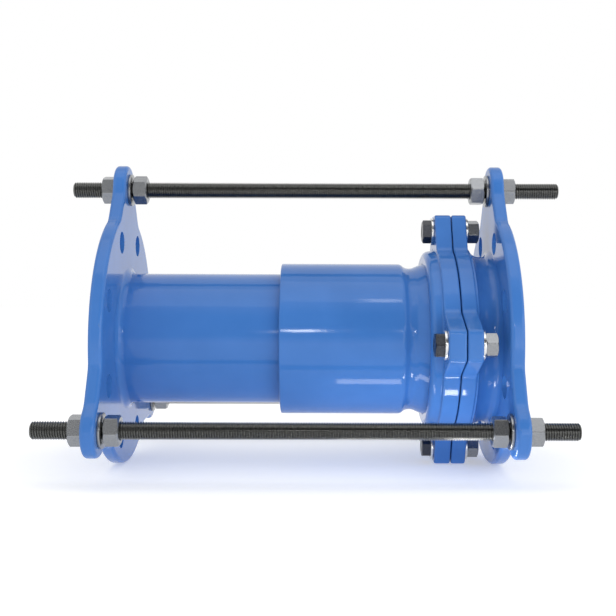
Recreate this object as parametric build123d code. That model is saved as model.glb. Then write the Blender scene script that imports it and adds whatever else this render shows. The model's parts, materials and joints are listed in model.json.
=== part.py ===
from build123d import *
import os
from math import asin, cos, pi, radians, sin, sqrt, tan

# Restrained telescopic dismantling joint, nominal bore 100 mm, all sizes in millimetres.
# X runs along the pipe, +Z points to the top tie rod. The origin is the centre of the bell flange's
# sealing face, and the joint lies on the -X side of it. A flanged pipe slides inside a sleeve, the
# sleeve's ball end is held in the bell by a gland ring, and three tie rods set the length.

# Overall
face_to_face = 347.2  # between the two sealing faces
pipe_radius = 57.15
pipe_wall = 6.15
casting_edge = 3.0  # rounding of the cast edges

# Flanges, the same on both castings
flange_rise = 52.85  # from the pipe's outside to the flange's rim
flange_thickness = 11.5
raised_face_height = 3.0
raised_face_relief = 2.5  # between the raised face and the bolt holes
bolt_margin = 20.0  # from the flange's rim to the bolt circle
bolt_hole_radius = 9.5
bolt_count = 8
root_fillet = 6.0  # where a flange meets its pipe or bell

# Tie rods, their lugs, nuts and washers
rod_count = 3
rod_radius = 7.0
rod_lengths = (430.0, 427.0, 424.0)  # of the top, rear and front rod, cut by hand from threaded bar
rod_offsets = (6.4, 0.0, -0.4)  # how far they sit towards +X from the middle
rod_chamfer = 1.2
rod_outset = 21.5  # from the flange's rim to the rod's axis
rod_hole_clearance = 1.5
lug_radius = 21.5
lug_flank_angle = 35.0
lug_waist = 2.5  # from the rod's axis down to where the flanks start
lug_blend = 18.0
flank_blend = 14.0
tie_nut_flats = 22.0
tie_nut_height = 12.0
tie_nut_slack = 1.4  # between an inner nut and its washer
tie_washer_radius = 14.0
tie_washer_height = 2.5
tie_nut_turns = {  # degrees, how the nuts on the top, rear and front rod happen to be turned
    "bell_inner": (-4.0, 20.0, 5.0),
    "bell_outer": (6.0, 45.0, -7.0),
    "spigot_inner": (30.0, 5.0, 6.0),
    "spigot_outer": (17.0, 35.0, 11.0),
}
thread_clearance = 0.1  # nut bore over the thread's outside

# Plain pipe of the spigot
spigot_length = 236.0  # from the flange's back to the pipe's free end
spigot_chamfer = 3.0

# Telescopic sleeve
sleeve_length = 170.0
slide_clearance = 0.5
sleeve_wall = 8.75
sleeve_edge = 1.3
mouth_chamfer = 1.5
seal_inset = 8.0  # from the sleeve's mouth to the seal groove
seal_width = 9.0
seal_groove_depth = 4.5
seal_clearance = 0.3  # the drawn seal stays this far off the pipe
seal_lip_width = 2.7
seal_lip_front = 2.25  # from the seal's front face to its lip
seal_front_height = 1.35  # how far the front face stops above the lip
seal_back_height = 2.0  # how far the back face stops above the lip
neck_depth = 3.8
neck_length = 6.0  # between the shoulder's foot and the ball
neck_slope = 40.0  # degrees, of the shoulder that falls from the sleeve to the neck
shoulder_blend = 6.0
neck_blend = 8.0

# Ball end and its socket
ball_swell = 3.8  # ball radius over the sleeve's
ball_offset = 2.1  # from the parting plane back to the ball's centre
ball_reach = 23.0  # from the ball's centre to its end face
socket_clearance = 0.3
gasket_half_width = 8.0
gasket_thickness = 5.5
gasket_taper = 2.5

# Gland: the bell's front plate and the gland ring, bolted face to face
bell_depth = 48.15  # from the sealing face to the parting plane
gland_gap = 0.8
bell_plate_thickness = 12.5
ring_plate_thickness = 14.0
ring_nose_length = 10.0
nose_step = 5.0  # from the gland ring's rim down to its nose, which rises a little towards the plate
nose_edge = 5.5
nose_blend = 1.5
gland_wall = 6.3  # from the gasket's seat to the outside of the plates
gland_bolt_count = 4
gland_bolt_radius = 6.0
gland_bolt_outset = 13.3  # from the plates' rim to the bolt axis
gland_lug_tip = 14.2  # from the bolt axis to the lug's tip
gland_lug_width = 24.0  # at its tip
gland_lug_flank_angle = 24.0
gland_lug_corner = 4.5
gland_lug_root = 7.0
gland_edge = 1.6
gland_hole_clearance = 1.0
gland_nut_flats = 18.0
gland_nut_height = 10.0
gland_head_height = 7.5
gland_bolt_excess = 0.5  # thread beyond the nut
gland_washer_radius = 12.0
gland_washer_height = 2.5
gland_head_turns = (30.0, 10.0, 45.0, 0.0)  # degrees, of the top, rear, bottom and front bolt head
gland_nut_turns = (20.0, 40.0, 5.0, 48.0)

# Bell, behind its front plate
bell_wall = 6.2
cove_step = 1.5  # from the front plate's back to where the cove leaves the rim
cove_length = 12.0  # along the axis, of the cove that falls from the plate's rim to the bell's wall
bell_end_gap = 3.0  # from the ball's end face to the bell's inner step

# Hexagons
hex_face = 0.95  # radius of a nut's round end face, as a share of half its width across flats
hex_face_angle = 30.0  # degrees, of the chamfer round that face

# Construction
cut_reach = 1.0  # cutters reach this far past a face they cut
near = 0.01
smooth_turn = 2.0  # degrees, edges that meet at less run smoothly into each other

# Radii that follow
bore_radius = pipe_radius - pipe_wall
flange_radius = pipe_radius + flange_rise
bolt_circle_radius = flange_radius - bolt_margin
raised_face_radius = bolt_circle_radius - bolt_hole_radius - raised_face_relief
lug_root = raised_face_radius  # where the lugs' flanks end, well within the flange's disc
hub_radius = raised_face_radius + root_fillet
rod_circle_radius = flange_radius + rod_outset
rod_hole_radius = rod_radius + rod_hole_clearance
sleeve_bore_radius = pipe_radius + slide_clearance
sleeve_radius = sleeve_bore_radius + sleeve_wall
neck_radius = sleeve_radius - neck_depth
ball_radius = sleeve_radius + ball_swell
socket_radius = ball_radius + socket_clearance
gasket_radius = ball_radius + gasket_thickness
gland_radius = gasket_radius + gland_wall
gland_bolt_circle = gland_radius + gland_bolt_outset
gland_lug_reach = gland_bolt_circle + gland_lug_tip
gland_hole_radius = gland_bolt_radius + gland_hole_clearance
end_chamber_radius = sqrt(socket_radius**2 - ball_reach**2)
bell_radius = end_chamber_radius + bell_wall
gland_rim_radius = gland_radius - gland_edge  # where the rounding of the plates' rims starts
nose_radius = gland_radius - nose_step

# Places along the axis that follow
flange_depth = raised_face_height + flange_thickness
bell_flange_back = -flange_depth
bell_lug_face = -raised_face_height
spigot_face = -face_to_face
spigot_lug_face = spigot_face + raised_face_height
spigot_flange_back = spigot_face + flange_depth
spigot_end = spigot_flange_back + spigot_length
parting = -bell_depth
bell_front = parting + gland_gap / 2
bell_plate_back = bell_front + bell_plate_thickness
ring_front = parting - gland_gap / 2
ring_plate_back = ring_front - ring_plate_thickness
ring_lip = ring_plate_back - ring_nose_length
ball_centre = parting - ball_offset
ball_end = ball_centre + ball_reach
sleeve_mouth = ball_end - sleeve_length
end_chamber = ball_end + bell_end_gap
joint_middle = (bell_lug_face + spigot_lug_face) / 2

rod_angles = [360.0 * i / rod_count for i in range(rod_count)]
rod_places = ("top", "rear", "front")
gland_angles = [360.0 * i / gland_bolt_count for i in range(gland_bolt_count)]
gland_places = ("top", "rear", "bottom", "front")


def across(radius, angle):
    """The point across the axis at this radius and this angle from +Z, turning towards +Y."""
    return (radius * sin(radians(angle)), radius * cos(radians(angle)))


def section(x):
    """The plane across the axis at x, with +Y to its right and +Z up."""
    return Plane(origin=(x, 0, 0), x_dir=(0, 1, 0), z_dir=(1, 0, 0))


def bar(radius, x_low, x_high, centre=(0, 0)):
    """A round bar along X."""
    return extrude(section(x_low) * Pos(*centre) * Circle(radius), amount=x_high - x_low)


def cutter(radius, x_low, x_high, centre=(0, 0)):
    """A round bar that cuts right through what lies between two places on the axis."""
    return bar(radius, x_low - cut_reach, x_high + cut_reach, centre)


def cutters(radius, x_low, x_high, circle_radius, angles):
    """Cutters on a circle round the axis."""
    return [cutter(radius, x_low, x_high, across(circle_radius, a)) for a in angles]


def turned(profile):
    """A solid turned about X, from a face whose second coordinate is the radius."""
    return revolve(profile, Axis.X)


def closed(*points):
    """A face with straight sides through these points of (x, radius)."""
    return make_face(Polyline(*points, close=True))


def round_corner(face, point, radius):
    """The face with its corner nearest to point rounded."""
    corner = face.vertices().sort_by_distance(Vector(*point))[0]
    return fillet(corner, radius)


def on_sphere(radius, x):
    """The point of (x, radius) on a sphere about the ball's centre."""
    return (x, sqrt(radius**2 - (x - ball_centre) ** 2))


def sphere_arc(radius, x_low, x_high):
    """An arc about the ball's centre between two places on the axis."""
    middle = on_sphere(radius, (x_low + x_high) / 2)
    return ThreePointArc(on_sphere(radius, x_low), middle, on_sphere(radius, x_high))


def cove(start, end):
    """A hollow arc that falls from start and runs out level at end."""
    length = end[0] - start[0]
    fall = start[1] - end[1]
    radius = (length**2 + fall**2) / (2 * fall)
    half_turn = asin(length / radius) / 2
    middle = (end[0] - radius * sin(half_turn), end[1] + radius * (1 - cos(half_turn)))
    return ThreePointArc(start, middle, end)


def flange_outline():
    """Round flange with three lugs, whose flanks widen towards the rim."""
    outline = Rot(0, 0, 90) * Circle(flange_radius)
    waist = rod_circle_radius - lug_waist
    half_waist = sqrt(lug_radius**2 - lug_waist**2)
    half_root = half_waist + (waist - lug_root) * tan(radians(lug_flank_angle))
    flanks = closed((-half_waist, waist), (-half_root, lug_root), (half_root, lug_root), (half_waist, waist))
    lug = Pos(0, rod_circle_radius) * Rot(0, 0, -90) * Circle(lug_radius) + flanks
    for angle in rod_angles:
        outline += Rot(0, 0, -angle) * lug
    outline = fillet(corners(outline, flange_radius + near, flange_radius + lug_radius), lug_blend)
    return fillet(corners(outline, 0, flange_radius + near), flank_blend)


def is_sharp(outline, vertex):
    """True if the two edges at this vertex meet at an angle."""
    edges = [e for e in outline.edges() if e.distance_to(vertex) < near]
    tangents = [e.tangent_at(vertex.center()) for e in edges]
    return abs(tangents[0].dot(tangents[1])) < cos(radians(smooth_turn))


def corners(outline, low, high):
    """The outline's sharp corners between two distances from the axis."""
    ring = [v for v in outline.vertices() if low < v.distance_to(Vector(0, 0, 0)) < high]
    return [v for v in ring if is_sharp(outline, v)]


def flange_plate(x_low):
    """The flange's plate with its lugs and rounded edges."""
    plate = extrude(section(x_low) * flange_outline(), amount=flange_thickness)
    rims = plate.faces().filter_by(Axis.X).edges()
    return fillet(rims, casting_edge)


def flange_holes(x_low):
    """Bolt holes and tie-rod holes through the flange's plate."""
    half_step = 180.0 / bolt_count
    bolt_angles = [half_step + 360.0 * i / bolt_count for i in range(bolt_count)]
    x_high = x_low + flange_thickness
    holes = cutters(bolt_hole_radius, x_low, x_high, bolt_circle_radius, bolt_angles)
    return holes + cutters(rod_hole_radius, x_low, x_high, rod_circle_radius, rod_angles)


def flanged_spigot():
    """Flange with lugs and a plain pipe, cast as one piece."""
    root = spigot_flange_back
    body = closed(
        (spigot_face, bore_radius),
        (spigot_face, raised_face_radius),
        (spigot_lug_face, raised_face_radius),
        (spigot_lug_face, hub_radius),
        (root, hub_radius),
        (root, pipe_radius),
        (spigot_end - spigot_chamfer, pipe_radius),
        (spigot_end, pipe_radius - spigot_chamfer / 2),
        (spigot_end, bore_radius),
    )
    body = round_corner(body, (root, pipe_radius), root_fillet)
    casting = turned(body) + flange_plate(spigot_lug_face)
    casting -= cutter(bore_radius, spigot_face, spigot_end)
    return casting - flange_holes(spigot_lug_face)


def telescopic_sleeve():
    """Tube that takes the plain pipe, with a seal groove at its mouth and a ball end."""
    neck_high = ball_centre - sqrt(ball_radius**2 - neck_radius**2)
    neck_low = neck_high - neck_length
    slope = neck_depth / tan(radians(neck_slope))
    tube = Polyline(
        on_sphere(ball_radius, ball_end),
        (ball_end, sleeve_bore_radius),
        (sleeve_mouth, sleeve_bore_radius),
        (sleeve_mouth, sleeve_radius),
        (neck_low - slope, sleeve_radius),
        (neck_low, neck_radius),
        (neck_high, neck_radius),
    )
    outside = [tube, sphere_arc(ball_radius, neck_high, ball_end)]
    body = make_face(outside)
    body = round_corner(body, (sleeve_mouth, sleeve_radius), sleeve_edge)
    body = round_corner(body, (neck_low - slope, sleeve_radius), shoulder_blend)
    body = round_corner(body, (neck_low, neck_radius), neck_blend)
    body = round_corner(body, (neck_high, neck_radius), neck_blend)
    mouth = closed(
        (sleeve_mouth, pipe_radius),
        (sleeve_mouth, sleeve_bore_radius + mouth_chamfer),
        (sleeve_mouth + 2 * mouth_chamfer, sleeve_bore_radius),
        (sleeve_mouth + 2 * mouth_chamfer, pipe_radius),
    )
    groove_low = sleeve_mouth + seal_inset
    groove = closed(
        (groove_low, pipe_radius),
        (groove_low, sleeve_bore_radius + seal_groove_depth),
        (groove_low + seal_width, sleeve_bore_radius + seal_groove_depth),
        (groove_low + seal_width, pipe_radius),
    )
    return turned(body - mouth - groove)


def lip_seal():
    """Rubber ring in the sleeve's groove, with a lip that leans on the pipe."""
    low = sleeve_mouth + seal_inset
    high = low + seal_width
    heel = sleeve_bore_radius + seal_groove_depth
    lip = pipe_radius + seal_clearance
    return turned(
        closed(
            (low, heel),
            (high, heel),
            (high, lip + seal_back_height),
            (low + seal_lip_front + seal_lip_width, lip),
            (low + seal_lip_front, lip),
            (low, lip + seal_front_height),
        )
    )


def gland_outline():
    """Round plate with four bolt lugs that narrow towards their tips."""
    half_tip = gland_lug_width / 2
    half_base = half_tip + gland_lug_reach * tan(radians(gland_lug_flank_angle))
    lug = closed((-half_tip, gland_lug_reach), (-half_base, 0), (half_base, 0), (half_tip, gland_lug_reach))
    outline = Rot(0, 0, 45) * Circle(gland_radius)
    for angle in gland_angles:
        outline += Rot(0, 0, angle) * lug
    outline = fillet(corners(outline, gland_bolt_circle, 2 * gland_lug_reach), gland_lug_corner)
    return fillet(corners(outline, 0, gland_radius + near), gland_lug_root)


def gland_plate(x_low, thickness):
    """Bolting plate of the gland ring or the bell, with rounded edges."""
    plate = extrude(section(x_low) * gland_outline(), amount=thickness)
    rims = plate.faces().filter_by(Axis.X).edges()
    return fillet(rims, gland_edge)


def gland_ring_void():
    """The ring's socket and its half of the gasket's seat."""
    bottom = parting - gasket_half_width
    socket = sphere_arc(socket_radius, ring_lip, bottom)
    seat = Polyline(
        on_sphere(socket_radius, bottom),
        (bottom, gasket_radius - gasket_taper),
        (bottom + gasket_taper, gasket_radius),
        (ring_front, gasket_radius),
        (ring_front, 0),
        (ring_lip, 0),
        on_sphere(socket_radius, ring_lip),
    )
    return turned(make_face([socket, seat]))


def bell_void():
    """The bell's half of the gasket's seat, its socket, end chamber and bore."""
    bottom = parting + gasket_half_width
    funnel = (end_chamber_radius - bore_radius) / 2
    socket = sphere_arc(socket_radius, bottom, ball_end)
    seat = Polyline(
        on_sphere(socket_radius, ball_end),
        (end_chamber, end_chamber_radius),
        (end_chamber + funnel, bore_radius),
        (0, bore_radius),
        (0, 0),
        (bell_front, 0),
        (bell_front, gasket_radius),
        (bottom - gasket_taper, gasket_radius),
        (bottom, gasket_radius - gasket_taper),
        on_sphere(socket_radius, bottom),
    )
    return turned(make_face([socket, seat]))


def gland_ring():
    """Ring with a spherical lip that keeps the ball end in the bell."""
    nose = closed(
        (ring_lip, 0),
        (ring_lip, nose_radius),
        (ring_plate_back, gland_rim_radius - nose_blend),
        (ring_plate_back, gland_rim_radius),
        (ring_front, gland_rim_radius),
        (ring_front, 0),
    )
    nose = round_corner(nose, (ring_lip, nose_radius), nose_edge)
    nose = round_corner(nose, (ring_plate_back, gland_rim_radius - nose_blend), nose_blend)
    ring = turned(nose) + gland_plate(ring_plate_back, ring_plate_thickness)
    ring -= gland_ring_void()
    return ring - cutters(gland_hole_radius, ring_plate_back, ring_front, gland_bolt_circle, gland_angles)


def bell_flange():
    """Bell for the ball end, with a bolting plate in front and the tie-rod flange behind."""
    cove_start = (bell_plate_back + cove_step, gland_rim_radius)
    cove_end = (cove_start[0] + cove_length, bell_radius)
    hub = Polyline(
        cove_end,
        (bell_flange_back, bell_radius),
        (bell_flange_back, hub_radius),
        (bell_lug_face, hub_radius),
        (bell_lug_face, raised_face_radius),
        (0, raised_face_radius),
        (0, 0),
        (bell_front, 0),
        (bell_front, gland_rim_radius),
        cove_start,
    )
    body = make_face([hub, cove(cove_start, cove_end)])
    room = bell_flange_back - cove_end[0] - near
    body = round_corner(body, (bell_flange_back, bell_radius), min(root_fillet, room))
    casting = turned(body) + flange_plate(bell_flange_back)
    casting += gland_plate(bell_front, bell_plate_thickness)
    casting -= bell_void()
    holes = cutters(gland_hole_radius, bell_front, bell_plate_back, gland_bolt_circle, gland_angles)
    return casting - holes - flange_holes(bell_flange_back)


def ball_gasket():
    """Rubber ring on the ball, seated half in the gland ring and half in the bell."""
    low = parting - gasket_half_width
    high = parting + gasket_half_width
    inside = sphere_arc(ball_radius, low, high)
    outside = Polyline(
        on_sphere(ball_radius, low),
        (low, gasket_radius - gasket_taper),
        (low + gasket_taper, gasket_radius),
        (high - gasket_taper, gasket_radius),
        (high, gasket_radius - gasket_taper),
        on_sphere(ball_radius, high),
    )
    return turned(make_face([inside, outside]))


def washer(radius, bore, x_low, height, centre):
    """Flat washer."""
    return bar(radius, x_low, x_low + height, centre) - cutter(bore, x_low, x_low + height, centre)


def hexagon(flats, x_low, height, centre, turn):
    """Hexagonal bar with both ends chamfered, a corner at this angle from +Y."""
    polygon = Rot(0, 0, turn) * RegularPolygon(flats / 2, 6, major_radius=False)
    blank = extrude(section(x_low) * Pos(*centre) * polygon, height)
    corner = flats / 2 / cos(pi / 6)
    face = flats / 2 * hex_face
    drop = (corner - face) * tan(radians(hex_face_angle))
    cone = closed(
        (x_low, 0),
        (x_low, face),
        (x_low + drop, corner),
        (x_low + height - drop, corner),
        (x_low + height, face),
        (x_low + height, 0),
    )
    return blank & Pos(0, *centre) * turned(cone)


def nut(flats, bore, x_low, height, centre, turn):
    """Hexagon nut."""
    return hexagon(flats, x_low, height, centre, turn) - cutter(bore, x_low, x_low + height, centre)


def tie_rod(centre, length, offset):
    """Threaded rod with chamfered ends."""
    low = joint_middle + offset - length / 2
    rod = bar(rod_radius, low, low + length, centre)
    ends = rod.faces().filter_by(Axis.X).edges()
    return chamfer(ends, rod_chamfer)


def gland_bolt(centre, turn):
    """Hexagon-head bolt, its head on the gland ring's side."""
    seat = ring_plate_back - gland_washer_height
    tip = bell_plate_back + gland_washer_height + gland_nut_height + gland_bolt_excess
    head = hexagon(gland_nut_flats, seat - gland_head_height, gland_head_height, centre, turn)
    return head + bar(gland_bolt_radius, seat, tip, centre)


def tie_hardware(index):
    """A tie rod with its four nuts and two washers, as named pieces."""
    place = rod_places[index]
    centre = across(rod_circle_radius, rod_angles[index])
    bore = rod_radius + thread_clearance
    stand_off = tie_washer_height + tie_nut_slack
    pieces = {f"tie_rod_{place}": tie_rod(centre, rod_lengths[index], rod_offsets[index])}
    nut_places = {
        "bell_inner": bell_flange_back - stand_off - tie_nut_height,
        "bell_outer": bell_lug_face,
        "spigot_inner": spigot_flange_back + stand_off,
        "spigot_outer": spigot_lug_face - tie_nut_height,
    }
    for side, x_low in nut_places.items():
        turn = tie_nut_turns[side][index]
        pieces[f"tie_nut_{side}_{place}"] = nut(tie_nut_flats, bore, x_low, tie_nut_height, centre, turn)
    height = tie_washer_height
    washer_places = {"bell": bell_flange_back - height, "spigot": spigot_flange_back}
    for side, x_low in washer_places.items():
        pieces[f"tie_washer_{side}_{place}"] = washer(tie_washer_radius, bore, x_low, height, centre)
    return pieces


def gland_hardware(index):
    """A gland bolt with its nut and two washers, as named pieces."""
    place = gland_places[index]
    centre = across(gland_bolt_circle, gland_angles[index])
    bore = gland_bolt_radius + thread_clearance
    nut_seat = bell_plate_back + gland_washer_height
    head_seat = ring_plate_back - gland_washer_height
    height = gland_washer_height
    turn = gland_nut_turns[index]
    return {
        f"gland_bolt_{place}": gland_bolt(centre, gland_head_turns[index]),
        f"gland_nut_{place}": nut(gland_nut_flats, bore, nut_seat, gland_nut_height, centre, turn),
        f"gland_washer_head_{place}": washer(gland_washer_radius, bore, head_seat, height, centre),
        f"gland_washer_nut_{place}": washer(gland_washer_radius, bore, bell_plate_back, height, centre),
    }


def all_pieces():
    """Every piece of the joint, by name."""
    pieces = {
        "flanged_spigot": flanged_spigot(),
        "telescopic_sleeve": telescopic_sleeve(),
        "gland_ring": gland_ring(),
        "bell_flange": bell_flange(),
        "ball_gasket": ball_gasket(),
        "lip_seal": lip_seal(),
    }
    for index in range(rod_count):
        pieces.update(tie_hardware(index))
    for index in range(gland_bolt_count):
        pieces.update(gland_hardware(index))
    return pieces


os.makedirs("parts", exist_ok=True)
for name, piece in all_pieces().items():
    export_step(piece, f"parts/{name}.step")
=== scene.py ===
import json
import math

import bmesh
import bpy
from mathutils import Matrix, Vector


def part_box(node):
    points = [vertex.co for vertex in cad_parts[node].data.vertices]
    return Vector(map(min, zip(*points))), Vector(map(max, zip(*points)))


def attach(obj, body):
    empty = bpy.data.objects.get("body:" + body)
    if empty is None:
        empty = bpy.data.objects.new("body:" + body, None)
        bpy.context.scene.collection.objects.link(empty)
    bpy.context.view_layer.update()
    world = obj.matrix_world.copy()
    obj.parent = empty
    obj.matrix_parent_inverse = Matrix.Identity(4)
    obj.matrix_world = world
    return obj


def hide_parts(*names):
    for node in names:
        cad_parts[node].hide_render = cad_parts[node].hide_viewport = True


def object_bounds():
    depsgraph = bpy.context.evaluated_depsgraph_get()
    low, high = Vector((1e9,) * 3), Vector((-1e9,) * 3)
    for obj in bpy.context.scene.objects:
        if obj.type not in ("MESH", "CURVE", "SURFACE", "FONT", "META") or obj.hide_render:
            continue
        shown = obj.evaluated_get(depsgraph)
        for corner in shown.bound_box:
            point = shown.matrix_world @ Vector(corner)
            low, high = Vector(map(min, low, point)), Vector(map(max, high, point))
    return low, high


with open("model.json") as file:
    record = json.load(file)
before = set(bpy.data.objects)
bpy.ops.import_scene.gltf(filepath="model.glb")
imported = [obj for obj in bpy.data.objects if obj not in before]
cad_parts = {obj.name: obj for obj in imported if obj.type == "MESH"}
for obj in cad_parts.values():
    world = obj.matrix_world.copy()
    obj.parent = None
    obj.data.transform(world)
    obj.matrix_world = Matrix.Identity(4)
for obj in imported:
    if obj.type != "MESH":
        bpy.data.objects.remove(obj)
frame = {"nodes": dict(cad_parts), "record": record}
CAD_BOX = [list(corner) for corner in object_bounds()]

# Sizes in metres, lens and sensor in millimetres. Pieces take their places from the CAD nodes.
MERGE_DISTANCE = 2e-7
SHARP_ANGLE = math.radians(28)  # edges that turn more are kept hard
RING_SEGMENTS = 72

# Screw threads, with shares of the pitch
ROD_PITCH = 0.0020
BOLT_PITCH = 0.00175
THREAD_DEPTH = 0.52
CREST_SHARE = 0.28
CREST_BREAK = 0.02  # broken edge at each side of the crest
ROOT_SHARE = 0.14
THREAD_SEGMENTS = 32
THREAD_RUN_OUT = 1e-5  # the bar's end face is at least this much smaller than the thread's root
BAR_END_CHAMFER = 0.0012
SHANK_PLAY = 0.0001  # between a gland bolt's thread and its nut's bore

# Nuts and bolt heads
HEX_CORNER = 0.0006  # rounding of the upright edges
HEX_CORNER_STEPS = 3  # on each side of an edge's middle
HEX_CORNER_STEP = math.radians(10)
HEX_SIDE = math.radians(60)  # from one corner to the next
HEX_FLAT_STEPS = 8
HEX_FACE = 0.95  # radius of the round end face, as a share of half the width across flats
HEX_FACE_SLOPE = math.tan(math.radians(30))
COUNTERSINK = 0.0007  # its depth, and how much it adds to the radius of a nut's bore
HEAD_RIM = 0.62  # radius of the rim on a bolt head's end, as HEX_FACE
HEAD_HOLLOW = 0.56  # radius of the hollow within that rim, as HEX_FACE
HEAD_HOLLOW_DEPTH = 0.0003

# Washers
WASHER_EDGE = 0.0004  # rounding of the edges
WASHER_EDGE_STEPS = 4

# Finish
NOISE_LOW = 0.3  # most of a noise texture lies between these
NOISE_HIGH = 0.7
EPOXY_DARK = (0.046, 0.166, 0.480)
EPOXY_LIGHT = (0.056, 0.188, 0.530)
EPOXY_IOR = 1.36
RUBBER_DARK = (0.018, 0.018, 0.019)
RUBBER_LIGHT = (0.035, 0.035, 0.036)
BORE_MARGIN = 0.0005  # the duller finish fades out between one and two of these outside the bore
BORE_ROUGHNESS = 0.5  # added to the roughness on the walls of the waterway

# Studio
WORLD_LIGHT = 0.72
WHITE = (1.0, 1.0, 1.0, 1.0)
FLOOR_COLOUR = (0.93, 0.93, 0.93, 1.0)
FLOOR_ROUGHNESS = 0.9
FLOOR_GLOW = 0.36  # for every ray: it whitens the floor and also lights the object from below
FLOOR_GAP = 0.0003  # below the lowest point of the object
FLOOR_REACH = 6.0  # half the length of its side
FLOOR_Z = CAD_BOX[0][2] - FLOOR_GAP
LOW_LAMP_Z = -0.109  # 1.3 mm above the floor
MIDDLE = (Vector(CAD_BOX[0]) + Vector(CAD_BOX[1])) / 2
LAMPS = (  # name, place, point that it is aimed at, width, height, watts
    ("top_softbox", (-0.2, -0.3, 1.4), MIDDLE, 1.4, 1.0, 3.0),
    ("low_softbox", (0.75, -1.1, 0.05), (-0.25, 0.0, -0.02), 1.4, 0.9, 6.0),
    ("front_lamp", (-0.205, -1.42, 0.35), (-0.18, 0.0, 0.0), 0.08, 0.08, 0.7),
    ("right_lamp", (0.10, -1.42, 0.35), (-0.03, 0.0, 0.0), 0.10, 0.06, 0.5),
    ("high_lamp", (-0.026, -0.64, 1.14), (-0.08, 0.0, 0.03), 0.08, 0.12, 0.17),
    ("floor_lamp_left", (-0.118, -0.094, LOW_LAMP_Z), (-0.118, -0.094, 0.0), 0.060, 0.018, 0.022),
    ("floor_lamp_right", (-0.045, -0.104, LOW_LAMP_Z), (-0.045, -0.104, 0.0), 0.026, 0.016, 0.034),
)
CARD_LOW = (-2.0, -1.7, -0.05)  # the dark card's lower left corner
CARD_HIGH = (1.6, -0.9, 1.7)  # its upper right corner, where it leans forward over the camera
CARD_WHITE = (1.0, 1.0, 1.0)
CARD_BLACK = (0.04, 0.04, 0.04)
CARD_UP = ((0.0, CARD_WHITE), (0.16, CARD_BLACK), (0.6, CARD_BLACK), (1.0, CARD_WHITE))
CARD_ALONG = ((0.28, CARD_WHITE), (0.45, CARD_BLACK), (0.8, CARD_BLACK), (1.0, CARD_WHITE))

# Camera, fitted to the rims, rods and tubes in the photograph
CAMERA_PLACE = (-0.16305, -0.849, 0.0452)
CAMERA_ROLL = 0.0034
CAMERA_LENS = 55.62
CAMERA_SENSOR = 36.0
CAMERA_SHIFT = (-0.01987, -0.03296)
CAMERA_NEAR = 0.01

TIE_PLACES = ("top", "rear", "front")
GLAND_PLACES = ("top", "rear", "bottom", "front")


# ---------- mesh helpers ----------

def node_box(node):
    """Lowest and highest corner of a CAD node, and the middle between them."""
    low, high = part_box(node)
    return low, high, (low + high) / 2


def finish_mesh(name, bm, material):
    """Turns the bmesh into an object with soft faces, hard edges and one material."""
    bmesh.ops.remove_doubles(bm, verts=bm.verts, dist=MERGE_DISTANCE)
    bmesh.ops.dissolve_degenerate(bm, edges=bm.edges, dist=MERGE_DISTANCE)
    bmesh.ops.recalc_face_normals(bm, faces=bm.faces)
    mesh = bpy.data.meshes.new(name)
    bm.to_mesh(mesh)
    bm.free()
    mesh.shade_smooth()
    mesh.set_sharp_from_angle(angle=SHARP_ANGLE)
    mesh.materials.append(material)
    piece = bpy.data.objects.new(name, mesh)
    bpy.context.scene.collection.objects.link(piece)
    return piece


def loop_of(bm, points):
    """New points of the mesh, in order."""
    return [bm.verts.new(point) for point in points]


def skin(bm, low, high):
    """Quads between two closed loops of the same length."""
    count = len(low)
    for i in range(count):
        following = (i + 1) % count
        bm.faces.new((low[i], low[following], high[following], high[i]))


def skins(bm, loops, close=False):
    """Quads between each loop and the next, and from the last to the first where it closes."""
    for low, high in zip(loops, loops[1:]):
        skin(bm, low, high)
    if close:
        skin(bm, loops[-1], loops[0])


def cap(bm, loop, point):
    """Triangles from a closed loop to a point in its middle."""
    tip = bm.verts.new(point)
    count = len(loop)
    for i in range(count):
        bm.faces.new((loop[i], loop[(i + 1) % count], tip))


def polar(centre, x, radius, angle):
    """The point at x, at this radius and angle round a centre line along X."""
    return Vector((x, centre.y + radius * math.cos(angle), centre.z + radius * math.sin(angle)))


def ring_points(centre, x, radius, segments=RING_SEGMENTS):
    """Points round a circle whose centre line runs along X."""
    return [polar(centre, x, radius, 2 * math.pi * i / segments) for i in range(segments)]


# ---------- threaded bars ----------

def thread_profile(pitch, radius):
    """Places along one pitch with the radius at each, and the radius of the root."""
    root = radius - THREAD_DEPTH * pitch
    crest = CREST_SHARE * pitch
    flank = (1 - CREST_SHARE - ROOT_SHARE) / 2 * pitch
    shoulder = CREST_BREAK * pitch
    return [
        (0.0, radius - shoulder),
        (shoulder, radius),
        (crest - shoulder, radius),
        (crest, radius - shoulder),
        (crest + flank, root),
        (crest + flank + ROOT_SHARE * pitch, root),
    ], root


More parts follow.
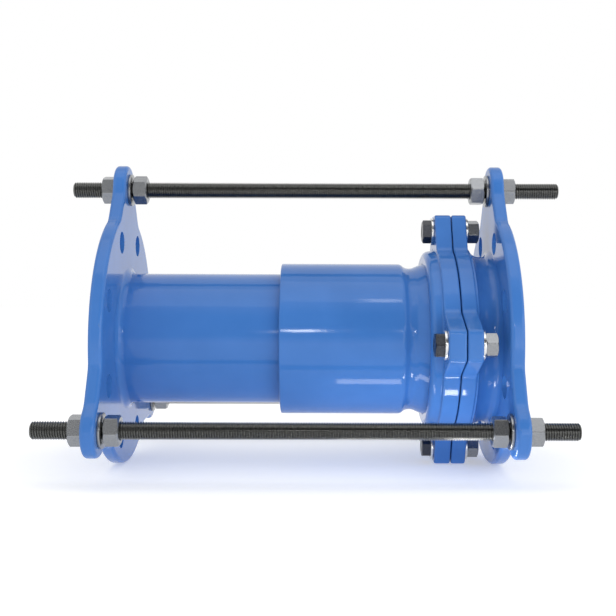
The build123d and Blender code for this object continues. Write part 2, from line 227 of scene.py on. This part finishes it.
def threaded_bar(bm, centre, low, high, radius, pitch, chamfer_low, chamfer_high):
    """A screw thread along X, run out into a chamfer at each end, and capped."""
    profile, root = thread_profile(pitch, radius)
    per_pitch = len(profile)
    turns = math.ceil((high - low) / pitch) + 2
    end_low = min(root - THREAD_RUN_OUT, radius - chamfer_low)
    end_high = min(root - THREAD_RUN_OUT, radius - chamfer_high)
    columns = []
    for s in range(THREAD_SEGMENTS):
        share = s / THREAD_SEGMENTS
        column = []
        for k in range(turns * per_pitch):
            along, out = profile[k % per_pitch]
            x = low - pitch + (k // per_pitch + share) * pitch + along
            x = min(max(x, low), high)
            out = min(out, end_low + (x - low), end_high + (high - x))
            column.append(bm.verts.new(polar(centre, x, out, 2 * math.pi * share)))
        columns.append(column)
    for s in range(THREAD_SEGMENTS):
        here = columns[s]
        wraps = s == THREAD_SEGMENTS - 1
        there = columns[0][per_pitch:] if wraps else columns[s + 1]
        for k in range(min(len(here), len(there)) - 1):
            bm.faces.new((here[k], there[k], there[k + 1], here[k + 1]))
    for x, end in ((low, end_low), (high, end_high)):
        rim = loop_of(bm, ring_points(centre, x, end, THREAD_SEGMENTS))
        cap(bm, rim, Vector((x, centre.y, centre.z)))


def tie_rod(place, material):
    """Threaded rod in the place of a plain CAD bar."""
    node = f"tie_rod_{place}"
    low, high, centre = node_box(node)
    radius = (high.z - low.z) / 2
    bm = bmesh.new()
    threaded_bar(bm, centre, low.x, high.x, radius, ROD_PITCH, BAR_END_CHAMFER, BAR_END_CHAMFER)
    return finish_mesh(f"threaded_rod_{place}", bm, material), node


# ---------- hexagons ----------

def node_turn(node):
    """Angle of a corner of a hexagonal node, read from its mesh, and its width across flats."""
    centre = node_box(node)[2]
    points = [v.co for v in frame["nodes"][node].data.vertices]
    corner = max(points, key=lambda p: math.hypot(p.y - centre.y, p.z - centre.z))
    reach = math.hypot(corner.y - centre.y, corner.z - centre.z)
    angle = math.atan2(corner.z - centre.z, corner.y - centre.y)
    return angle, reach * 2 * math.cos(HEX_SIDE / 2)


def hexagon_points(flats, turn):
    """Radius and angle of points round a hexagon with rounded corners."""
    points = []
    inner = (flats / 2 - HEX_CORNER) / math.cos(HEX_SIDE / 2)

    def corner_point(middle, angle):
        centre = Vector((inner * math.cos(middle), inner * math.sin(middle)))
        return centre + HEX_CORNER * Vector((math.cos(angle), math.sin(angle)))

    for side in range(6):
        corner = turn + side * HEX_SIDE
        following = turn + (side + 1) * HEX_SIDE
        for step in range(-HEX_CORNER_STEPS, HEX_CORNER_STEPS + 1):
            points.append(corner_point(corner, corner + step * HEX_CORNER_STEP))
        start = points[-1]
        end = corner_point(following, following - HEX_SIDE / 2)
        for step in range(1, HEX_FLAT_STEPS):
            points.append(start.lerp(end, step / HEX_FLAT_STEPS))
    return [(p.length, math.atan2(p.y, p.x)) for p in points]


def hexagon_side(bm, centre, x_low, x_high, flats, turn, sharp_low, sharp_high):
    """Loops of a nut's or head's side from low to high, chamfered where sharp, and their angles."""
    face = flats / 2 * HEX_FACE
    points = hexagon_points(flats, turn)
    angles = [a for _, a in points]
    loops = []
    if sharp_low:
        loops.append(loop_of(bm, [polar(centre, x_low, face, a) for a in angles]))
    drops = [(r - face) * HEX_FACE_SLOPE for r, _ in points]
    low_drops = drops if sharp_low else [0.0] * len(drops)
    high_drops = drops if sharp_high else [0.0] * len(drops)
    low_side = [polar(centre, x_low + d, r, a) for (r, a), d in zip(points, low_drops)]
    high_side = [polar(centre, x_high - d, r, a) for (r, a), d in zip(points, high_drops)]
    loops.append(loop_of(bm, low_side))
    loops.append(loop_of(bm, high_side))
    if sharp_high:
        loops.append(loop_of(bm, [polar(centre, x_high, face, a) for a in angles]))
    return loops, angles


def nut(node, name, bore, material):
    """Hexagonal nut with both ends chamfered and its bore countersunk."""
    low, high, centre = node_box(node)
    turn, flats = node_turn(node)
    bm = bmesh.new()
    side, angles = hexagon_side(bm, centre, low.x, high.x, flats, turn, True, True)
    inside = [
        (low.x, bore + COUNTERSINK),
        (low.x + COUNTERSINK, bore),
        (high.x - COUNTERSINK, bore),
        (high.x, bore + COUNTERSINK),
    ]
    hole = [loop_of(bm, [polar(centre, x, r, a) for a in angles]) for x, r in inside]
    skins(bm, side)
    skin(bm, side[-1], hole[-1])
    skins(bm, hole[::-1])
    skin(bm, hole[0], side[0])
    return finish_mesh(name, bm, material), node


def gland_bolt(place, shank, material):
    """Bolt whose head has a shallow hollow in its end, threaded up to the head."""
    node = f"gland_bolt_{place}"
    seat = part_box(f"gland_washer_head_{place}")[0].x
    low, high, centre = node_box(node)
    turn, flats = node_turn(node)
    bm = bmesh.new()
    side, angles = hexagon_side(bm, centre, low.x, seat, flats, turn, True, False)
    skins(bm, side)
    bottom = low.x + HEAD_HOLLOW_DEPTH
    rim = loop_of(bm, [polar(centre, low.x, HEAD_RIM * flats / 2, a) for a in angles])
    hollow = loop_of(bm, [polar(centre, bottom, HEAD_HOLLOW * flats / 2, a) for a in angles])
    skin(bm, rim, side[0])
    skin(bm, hollow, rim)
    cap(bm, hollow, Vector((bottom, centre.y, centre.z)))
    cap(bm, side[-1], Vector((seat, centre.y, centre.z)))
    threaded_bar(bm, centre, seat, high.x, shank, BOLT_PITCH, 0.0, BAR_END_CHAMFER)
    return finish_mesh(f"hex_bolt_{place}", bm, material), node


def washer(node, name, bore, material):
    """Flat washer with rounded edges."""
    low, high, centre = node_box(node)
    radius = (high.z - low.z) / 2
    edge = WASHER_EDGE
    corners = (
        (low.x + edge, radius - edge, 180),
        (high.x - edge, radius - edge, 90),
        (high.x - edge, bore + edge, 0),
        (low.x + edge, bore + edge, 270),
    )
    profile = []
    for x, r, start in corners:
        for step in range(WASHER_EDGE_STEPS):
            angle = math.radians(start - 90 / (WASHER_EDGE_STEPS - 1) * step)
            profile.append((x + edge * math.cos(angle), r + edge * math.sin(angle)))
    bm = bmesh.new()
    loops = [loop_of(bm, ring_points(centre, x, r)) for x, r in profile]
    skins(bm, loops, close=True)
    return finish_mesh(name, bm, material), node


# ---------- materials ----------

def node_material(name):
    """New material, its node tree and its Principled shader."""
    material = bpy.data.materials.new(name)
    material.use_nodes = True
    tree = material.node_tree
    shader = tree.nodes["Principled BSDF"]
    return material, tree, shader


def noise(tree, scale, detail, roughness=0.5):
    """Value of a noise texture in the object's own coordinates."""
    place = tree.nodes.new("ShaderNodeTexCoord")
    node = tree.nodes.new("ShaderNodeTexNoise")
    node.inputs["Scale"].default_value = scale
    node.inputs["Detail"].default_value = detail
    node.inputs["Roughness"].default_value = roughness
    tree.links.new(place.outputs["Object"], node.inputs["Vector"])
    return node.outputs["Fac"]


def ramp(tree, value, stops):
    """Colour that runs through stops of (position, colour) with a value."""
    node = tree.nodes.new("ShaderNodeValToRGB")
    node.color_ramp.elements[0].position = stops[0][0]
    node.color_ramp.elements[0].color = (*stops[0][1], 1)
    node.color_ramp.elements[1].position = stops[-1][0]
    node.color_ramp.elements[1].color = (*stops[-1][1], 1)
    for position, colour in stops[1:-1]:
        element = node.color_ramp.elements.new(position)
        element.color = (*colour, 1)
    tree.links.new(value, node.inputs["Fac"])
    return node.outputs["Color"]


def span(tree, value, low, high):
    """Stretches the middle part of a noise to run from low to high."""
    node = tree.nodes.new("ShaderNodeMapRange")
    node.inputs["From Min"].default_value = NOISE_LOW
    node.inputs["From Max"].default_value = NOISE_HIGH
    node.inputs["To Min"].default_value = low
    node.inputs["To Max"].default_value = high
    tree.links.new(value, node.inputs["Value"])
    return node.outputs["Result"]


def bump(tree, height, distance, strength, below=None):
    """Normal of a fine relief, on top of another one where given."""
    node = tree.nodes.new("ShaderNodeBump")
    node.inputs["Distance"].default_value = distance
    node.inputs["Strength"].default_value = strength
    tree.links.new(height, node.inputs["Height"])
    if below is not None:
        tree.links.new(below, node.inputs["Normal"])
    return node.outputs["Normal"]


def waterway(tree):
    """1 on the walls of the bore along X and 0 outside it."""
    mounts = {mount["name"]: mount for mount in frame["record"]["mounts"]}
    bore = mounts["spigot_waterway"]["dims"]["r_mm"] / 1000
    place = tree.nodes.new("ShaderNodeTexCoord")
    flat = tree.nodes.new("ShaderNodeVectorMath")
    flat.operation = "MULTIPLY"
    flat.inputs[1].default_value = (0.0, 1.0, 1.0)
    length = tree.nodes.new("ShaderNodeVectorMath")
    length.operation = "LENGTH"
    edge = tree.nodes.new("ShaderNodeMapRange")
    edge.inputs["From Min"].default_value = bore + BORE_MARGIN
    edge.inputs["From Max"].default_value = bore + 2 * BORE_MARGIN
    edge.inputs["To Min"].default_value = 1.0
    edge.inputs["To Max"].default_value = 0.0
    tree.links.new(place.outputs["Object"], flat.inputs[0])
    tree.links.new(flat.outputs["Vector"], length.inputs[0])
    tree.links.new(length.outputs["Value"], edge.inputs["Value"])
    return edge.outputs["Result"]


def coating():
    """Glossy blue epoxy over cast iron: a soft orange peel, a slightly uneven colour, a duller bore."""
    material, tree, shader = node_material("blue_epoxy")
    cloudy = noise(tree, scale=24.0, detail=3.0)
    colour = ramp(tree, cloudy, ((NOISE_LOW, EPOXY_DARK), (NOISE_HIGH, EPOXY_LIGHT)))
    tree.links.new(colour, shader.inputs["Base Color"])
    gloss = span(tree, noise(tree, scale=90.0, detail=4.0), low=0.07, high=0.11)
    duller = tree.nodes.new("ShaderNodeMath")
    duller.operation = "MULTIPLY_ADD"
    duller.inputs[1].default_value = BORE_ROUGHNESS
    tree.links.new(waterway(tree), duller.inputs[0])
    tree.links.new(gloss, duller.inputs[2])
    tree.links.new(duller.outputs[0], shader.inputs["Roughness"])
    fine = noise(tree, scale=330.0, detail=2.0)
    peel = bump(tree, fine, distance=0.0004, strength=0.03)
    coarse = noise(tree, scale=60.0, detail=2.0)
    cast = bump(tree, coarse, distance=0.0012, strength=0.05, below=peel)
    tree.links.new(cast, shader.inputs["Normal"])
    shader.inputs["IOR"].default_value = EPOXY_IOR
    return material


def metal(name, dark, light, rough, scale, grain, metallic=1.0):
    """Bare or plated steel with a fine uneven grain."""
    material, tree, shader = node_material(name)
    tone = noise(tree, scale, detail=5.0, roughness=0.6)
    colour = ramp(tree, tone, ((NOISE_LOW, dark), (NOISE_HIGH, light)))
    tree.links.new(colour, shader.inputs["Base Color"])
    gloss = span(tree, noise(tree, scale * 3, detail=4.0), *rough)
    tree.links.new(gloss, shader.inputs["Roughness"])
    relief = bump(tree, noise(tree, scale * 5, detail=3.0), distance=0.0001, strength=grain)
    tree.links.new(relief, shader.inputs["Normal"])
    shader.inputs["Metallic"].default_value = metallic
    return material


def rubber():
    """Black moulded rubber, matt and finely grained."""
    material, tree, shader = node_material("black_rubber")
    tone = noise(tree, scale=300.0, detail=4.0)
    colour = ramp(tree, tone, ((NOISE_LOW, RUBBER_DARK), (NOISE_HIGH, RUBBER_LIGHT)))
    tree.links.new(colour, shader.inputs["Base Color"])
    tree.links.new(span(tree, tone, low=0.55, high=0.75), shader.inputs["Roughness"])
    relief = bump(tree, noise(tree, scale=900.0, detail=2.0), distance=0.0001, strength=0.3)
    tree.links.new(relief, shader.inputs["Normal"])
    return material


BLUE = coating()
ROD_STEEL = metal(
    "black_rod_steel", (0.086, 0.089, 0.087), (0.176, 0.176, 0.168),
    rough=(0.18, 0.32), scale=700.0, grain=0.10,
)
NUT_STEEL = metal(
    "zinc_nut_steel", (0.25, 0.26, 0.275), (0.34, 0.35, 0.36),
    rough=(0.20, 0.32), scale=900.0, grain=0.06, metallic=0.9,
)
BOLT_STEEL = metal(
    "dark_bolt_steel", (0.045, 0.048, 0.056), (0.085, 0.088, 0.100),
    rough=(0.20, 0.34), scale=900.0, grain=0.06, metallic=0.9,
)
WASHER_STEEL = metal(
    "bright_washer_steel", (0.66, 0.66, 0.65), (0.82, 0.82, 0.81),
    rough=(0.18, 0.30), scale=350.0, grain=0.08,
)
RUBBER = rubber()


# ---------- castings and rubber: the CAD solids with their finish ----------

def dress(node, material):
    """Gives a CAD node its material."""
    mesh = frame["nodes"][node].data
    mesh.materials.clear()
    mesh.materials.append(material)


for casting in ("flanged_spigot", "telescopic_sleeve", "gland_ring", "bell_flange"):
    dress(casting, BLUE)
for soft in ("ball_gasket", "lip_seal"):
    dress(soft, RUBBER)


# ---------- rods, nuts, bolts and washers ----------

def place_piece(made, body):
    """Lets a new piece ride on its body and replace its CAD node."""
    piece, node = made
    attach(piece, body)
    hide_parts(node)


def bore_of(node):
    """Radius of the hole through a node along X."""
    centre = node_box(node)[2]
    mesh = frame["nodes"][node].data
    return min(math.hypot(v.co.y - centre.y, v.co.z - centre.z) for v in mesh.vertices)


for at in TIE_PLACES:
    place_piece(tie_rod(at, ROD_STEEL), "bell_side")
    for side in ("bell", "spigot"):
        body = f"{side}_side"
        for where in ("inner", "outer"):
            node = f"tie_nut_{side}_{where}_{at}"
            made = nut(node, f"hex_nut_{side}_{where}_{at}", bore_of(node), NUT_STEEL)
            place_piece(made, body)
        node = f"tie_washer_{side}_{at}"
        made = washer(node, f"flat_washer_{side}_{at}", bore_of(node), NUT_STEEL)
        place_piece(made, body)
for at in GLAND_PLACES:
    node = f"gland_nut_{at}"
    bore = bore_of(node)
    place_piece(gland_bolt(at, bore - SHANK_PLAY, BOLT_STEEL), "bell_side")
    place_piece(nut(node, f"gland_hex_nut_{at}", bore, NUT_STEEL), "bell_side")
    for end in ("head", "nut"):
        node = f"gland_washer_{end}_{at}"
        made = washer(node, f"bright_washer_{end}_{at}", bore_of(node), WASHER_STEEL)
        place_piece(made, "bell_side")


# ---------- floor, light, camera ----------

def seen_directly(tree):
    """1 for camera, glossy and transmission rays, which see the background, and 0 for light."""
    path = tree.nodes.new("ShaderNodeLightPath")
    first = tree.nodes.new("ShaderNodeMath")
    first.operation = "MAXIMUM"
    second = tree.nodes.new("ShaderNodeMath")
    second.operation = "MAXIMUM"
    tree.links.new(path.outputs["Is Camera Ray"], first.inputs[0])
    tree.links.new(path.outputs["Is Glossy Ray"], first.inputs[1])
    tree.links.new(first.outputs[0], second.inputs[0])
    tree.links.new(path.outputs["Is Transmission Ray"], second.inputs[1])
    return second.outputs[0]


def plain_world():
    """White to the camera and to reflections, and a soft even light."""
    world = bpy.data.worlds.new("studio")
    bpy.context.scene.world = world
    world.use_nodes = True
    tree = world.node_tree
    tree.nodes.clear()
    output = tree.nodes.new("ShaderNodeOutputWorld")
    light = tree.nodes.new("ShaderNodeBackground")
    light.inputs["Color"].default_value = WHITE
    light.inputs["Strength"].default_value = WORLD_LIGHT
    seen = tree.nodes.new("ShaderNodeBackground")
    seen.inputs["Color"].default_value = WHITE
    seen.inputs["Strength"].default_value = 1.0
    mix = tree.nodes.new("ShaderNodeMixShader")
    tree.links.new(seen_directly(tree), mix.inputs["Fac"])
    tree.links.new(light.outputs[0], mix.inputs[1])
    tree.links.new(seen.outputs[0], mix.inputs[2])
    tree.links.new(mix.outputs[0], output.inputs["Surface"])


def floor():
    """A pale matt floor, white to the camera and to reflections where the object leaves no shadow."""
    mesh = bpy.data.meshes.new("studio_floor")
    sides = ((-1, -1), (1, -1), (1, 1), (-1, 1))
    corners = [(x * FLOOR_REACH, y * FLOOR_REACH, FLOOR_Z) for x, y in sides]
    mesh.from_pydata(corners, [], [(0, 1, 2, 3)])
    material, tree, shader = node_material("floor_white")
    shader.inputs["Base Color"].default_value = FLOOR_COLOUR
    shader.inputs["Roughness"].default_value = FLOOR_ROUGHNESS
    shader.inputs["Specular IOR Level"].default_value = 0.0
    shader.inputs["Emission Color"].default_value = WHITE
    shader.inputs["Emission Strength"].default_value = FLOOR_GLOW
    mesh.materials.append(material)
    piece = bpy.data.objects.new("studio_floor", mesh)
    bpy.context.scene.collection.objects.link(piece)


def area_lamp(name, place, target, width, height, power):
    """Rectangular lamp aimed at a point, unseen by the camera."""
    lamp = bpy.data.lights.new(name, "AREA")
    lamp.shape = "RECTANGLE"
    lamp.size = width
    lamp.size_y = height
    lamp.energy = power
    piece = bpy.data.objects.new(name, lamp)
    bpy.context.scene.collection.objects.link(piece)
    piece.visible_camera = False
    piece.location = place
    piece.rotation_euler = (Vector(target) - Vector(place)).to_track_quat("-Z", "Y").to_euler()


def dark_card():
    """Stands for the unlit room behind the camera. Only reflections see it; it fades out at its edges."""
    left, front, bottom = CARD_LOW
    right, back, top = CARD_HIGH
    corners = [(left, front, bottom), (right, front, bottom), (right, back, top), (left, back, top)]
    mesh = bpy.data.meshes.new("dark_card")
    mesh.from_pydata(corners, [], [(0, 1, 2, 3)])
    material, tree, shader = node_material("card_shade")
    tree.nodes.remove(shader)
    place = tree.nodes.new("ShaderNodeTexCoord")
    split = tree.nodes.new("ShaderNodeSeparateXYZ")
    tree.links.new(place.outputs["Generated"], split.inputs["Vector"])
    up = ramp(tree, split.outputs["Z"], CARD_UP)
    along = ramp(tree, split.outputs["X"], CARD_ALONG)
    lighter = tree.nodes.new("ShaderNodeMath")
    lighter.operation = "MAXIMUM"
    tree.links.new(up, lighter.inputs[0])
    tree.links.new(along, lighter.inputs[1])
    glow = tree.nodes.new("ShaderNodeEmission")
    tree.links.new(lighter.outputs[0], glow.inputs["Strength"])
    tree.links.new(glow.outputs[0], tree.nodes["Material Output"].inputs["Surface"])
    mesh.materials.append(material)
    piece = bpy.data.objects.new("dark_card", mesh)
    bpy.context.scene.collection.objects.link(piece)
    piece.visible_camera = False
    piece.visible_diffuse = False
    piece.visible_shadow = False


def photo_camera():
    """Level camera that looks along +Y, turned a little about its own axis."""
    data = bpy.data.cameras.new("photo_view")
    data.lens = CAMERA_LENS
    data.sensor_width = CAMERA_SENSOR
    data.shift_x, data.shift_y = CAMERA_SHIFT
    data.clip_start = CAMERA_NEAR
    camera = bpy.data.objects.new("photo_view", data)
    bpy.context.scene.collection.objects.link(camera)
    look = Matrix.Rotation(math.radians(90), 4, "X")
    roll = Matrix.Rotation(CAMERA_ROLL, 4, "Z")
    camera.matrix_world = Matrix.Translation(CAMERA_PLACE) @ look @ roll
    bpy.context.scene.camera = camera


plain_world()
floor()
for lamp in LAMPS:
    area_lamp(*lamp)
dark_card()
photo_camera()
bpy.context.scene.view_settings.view_transform = "Standard"
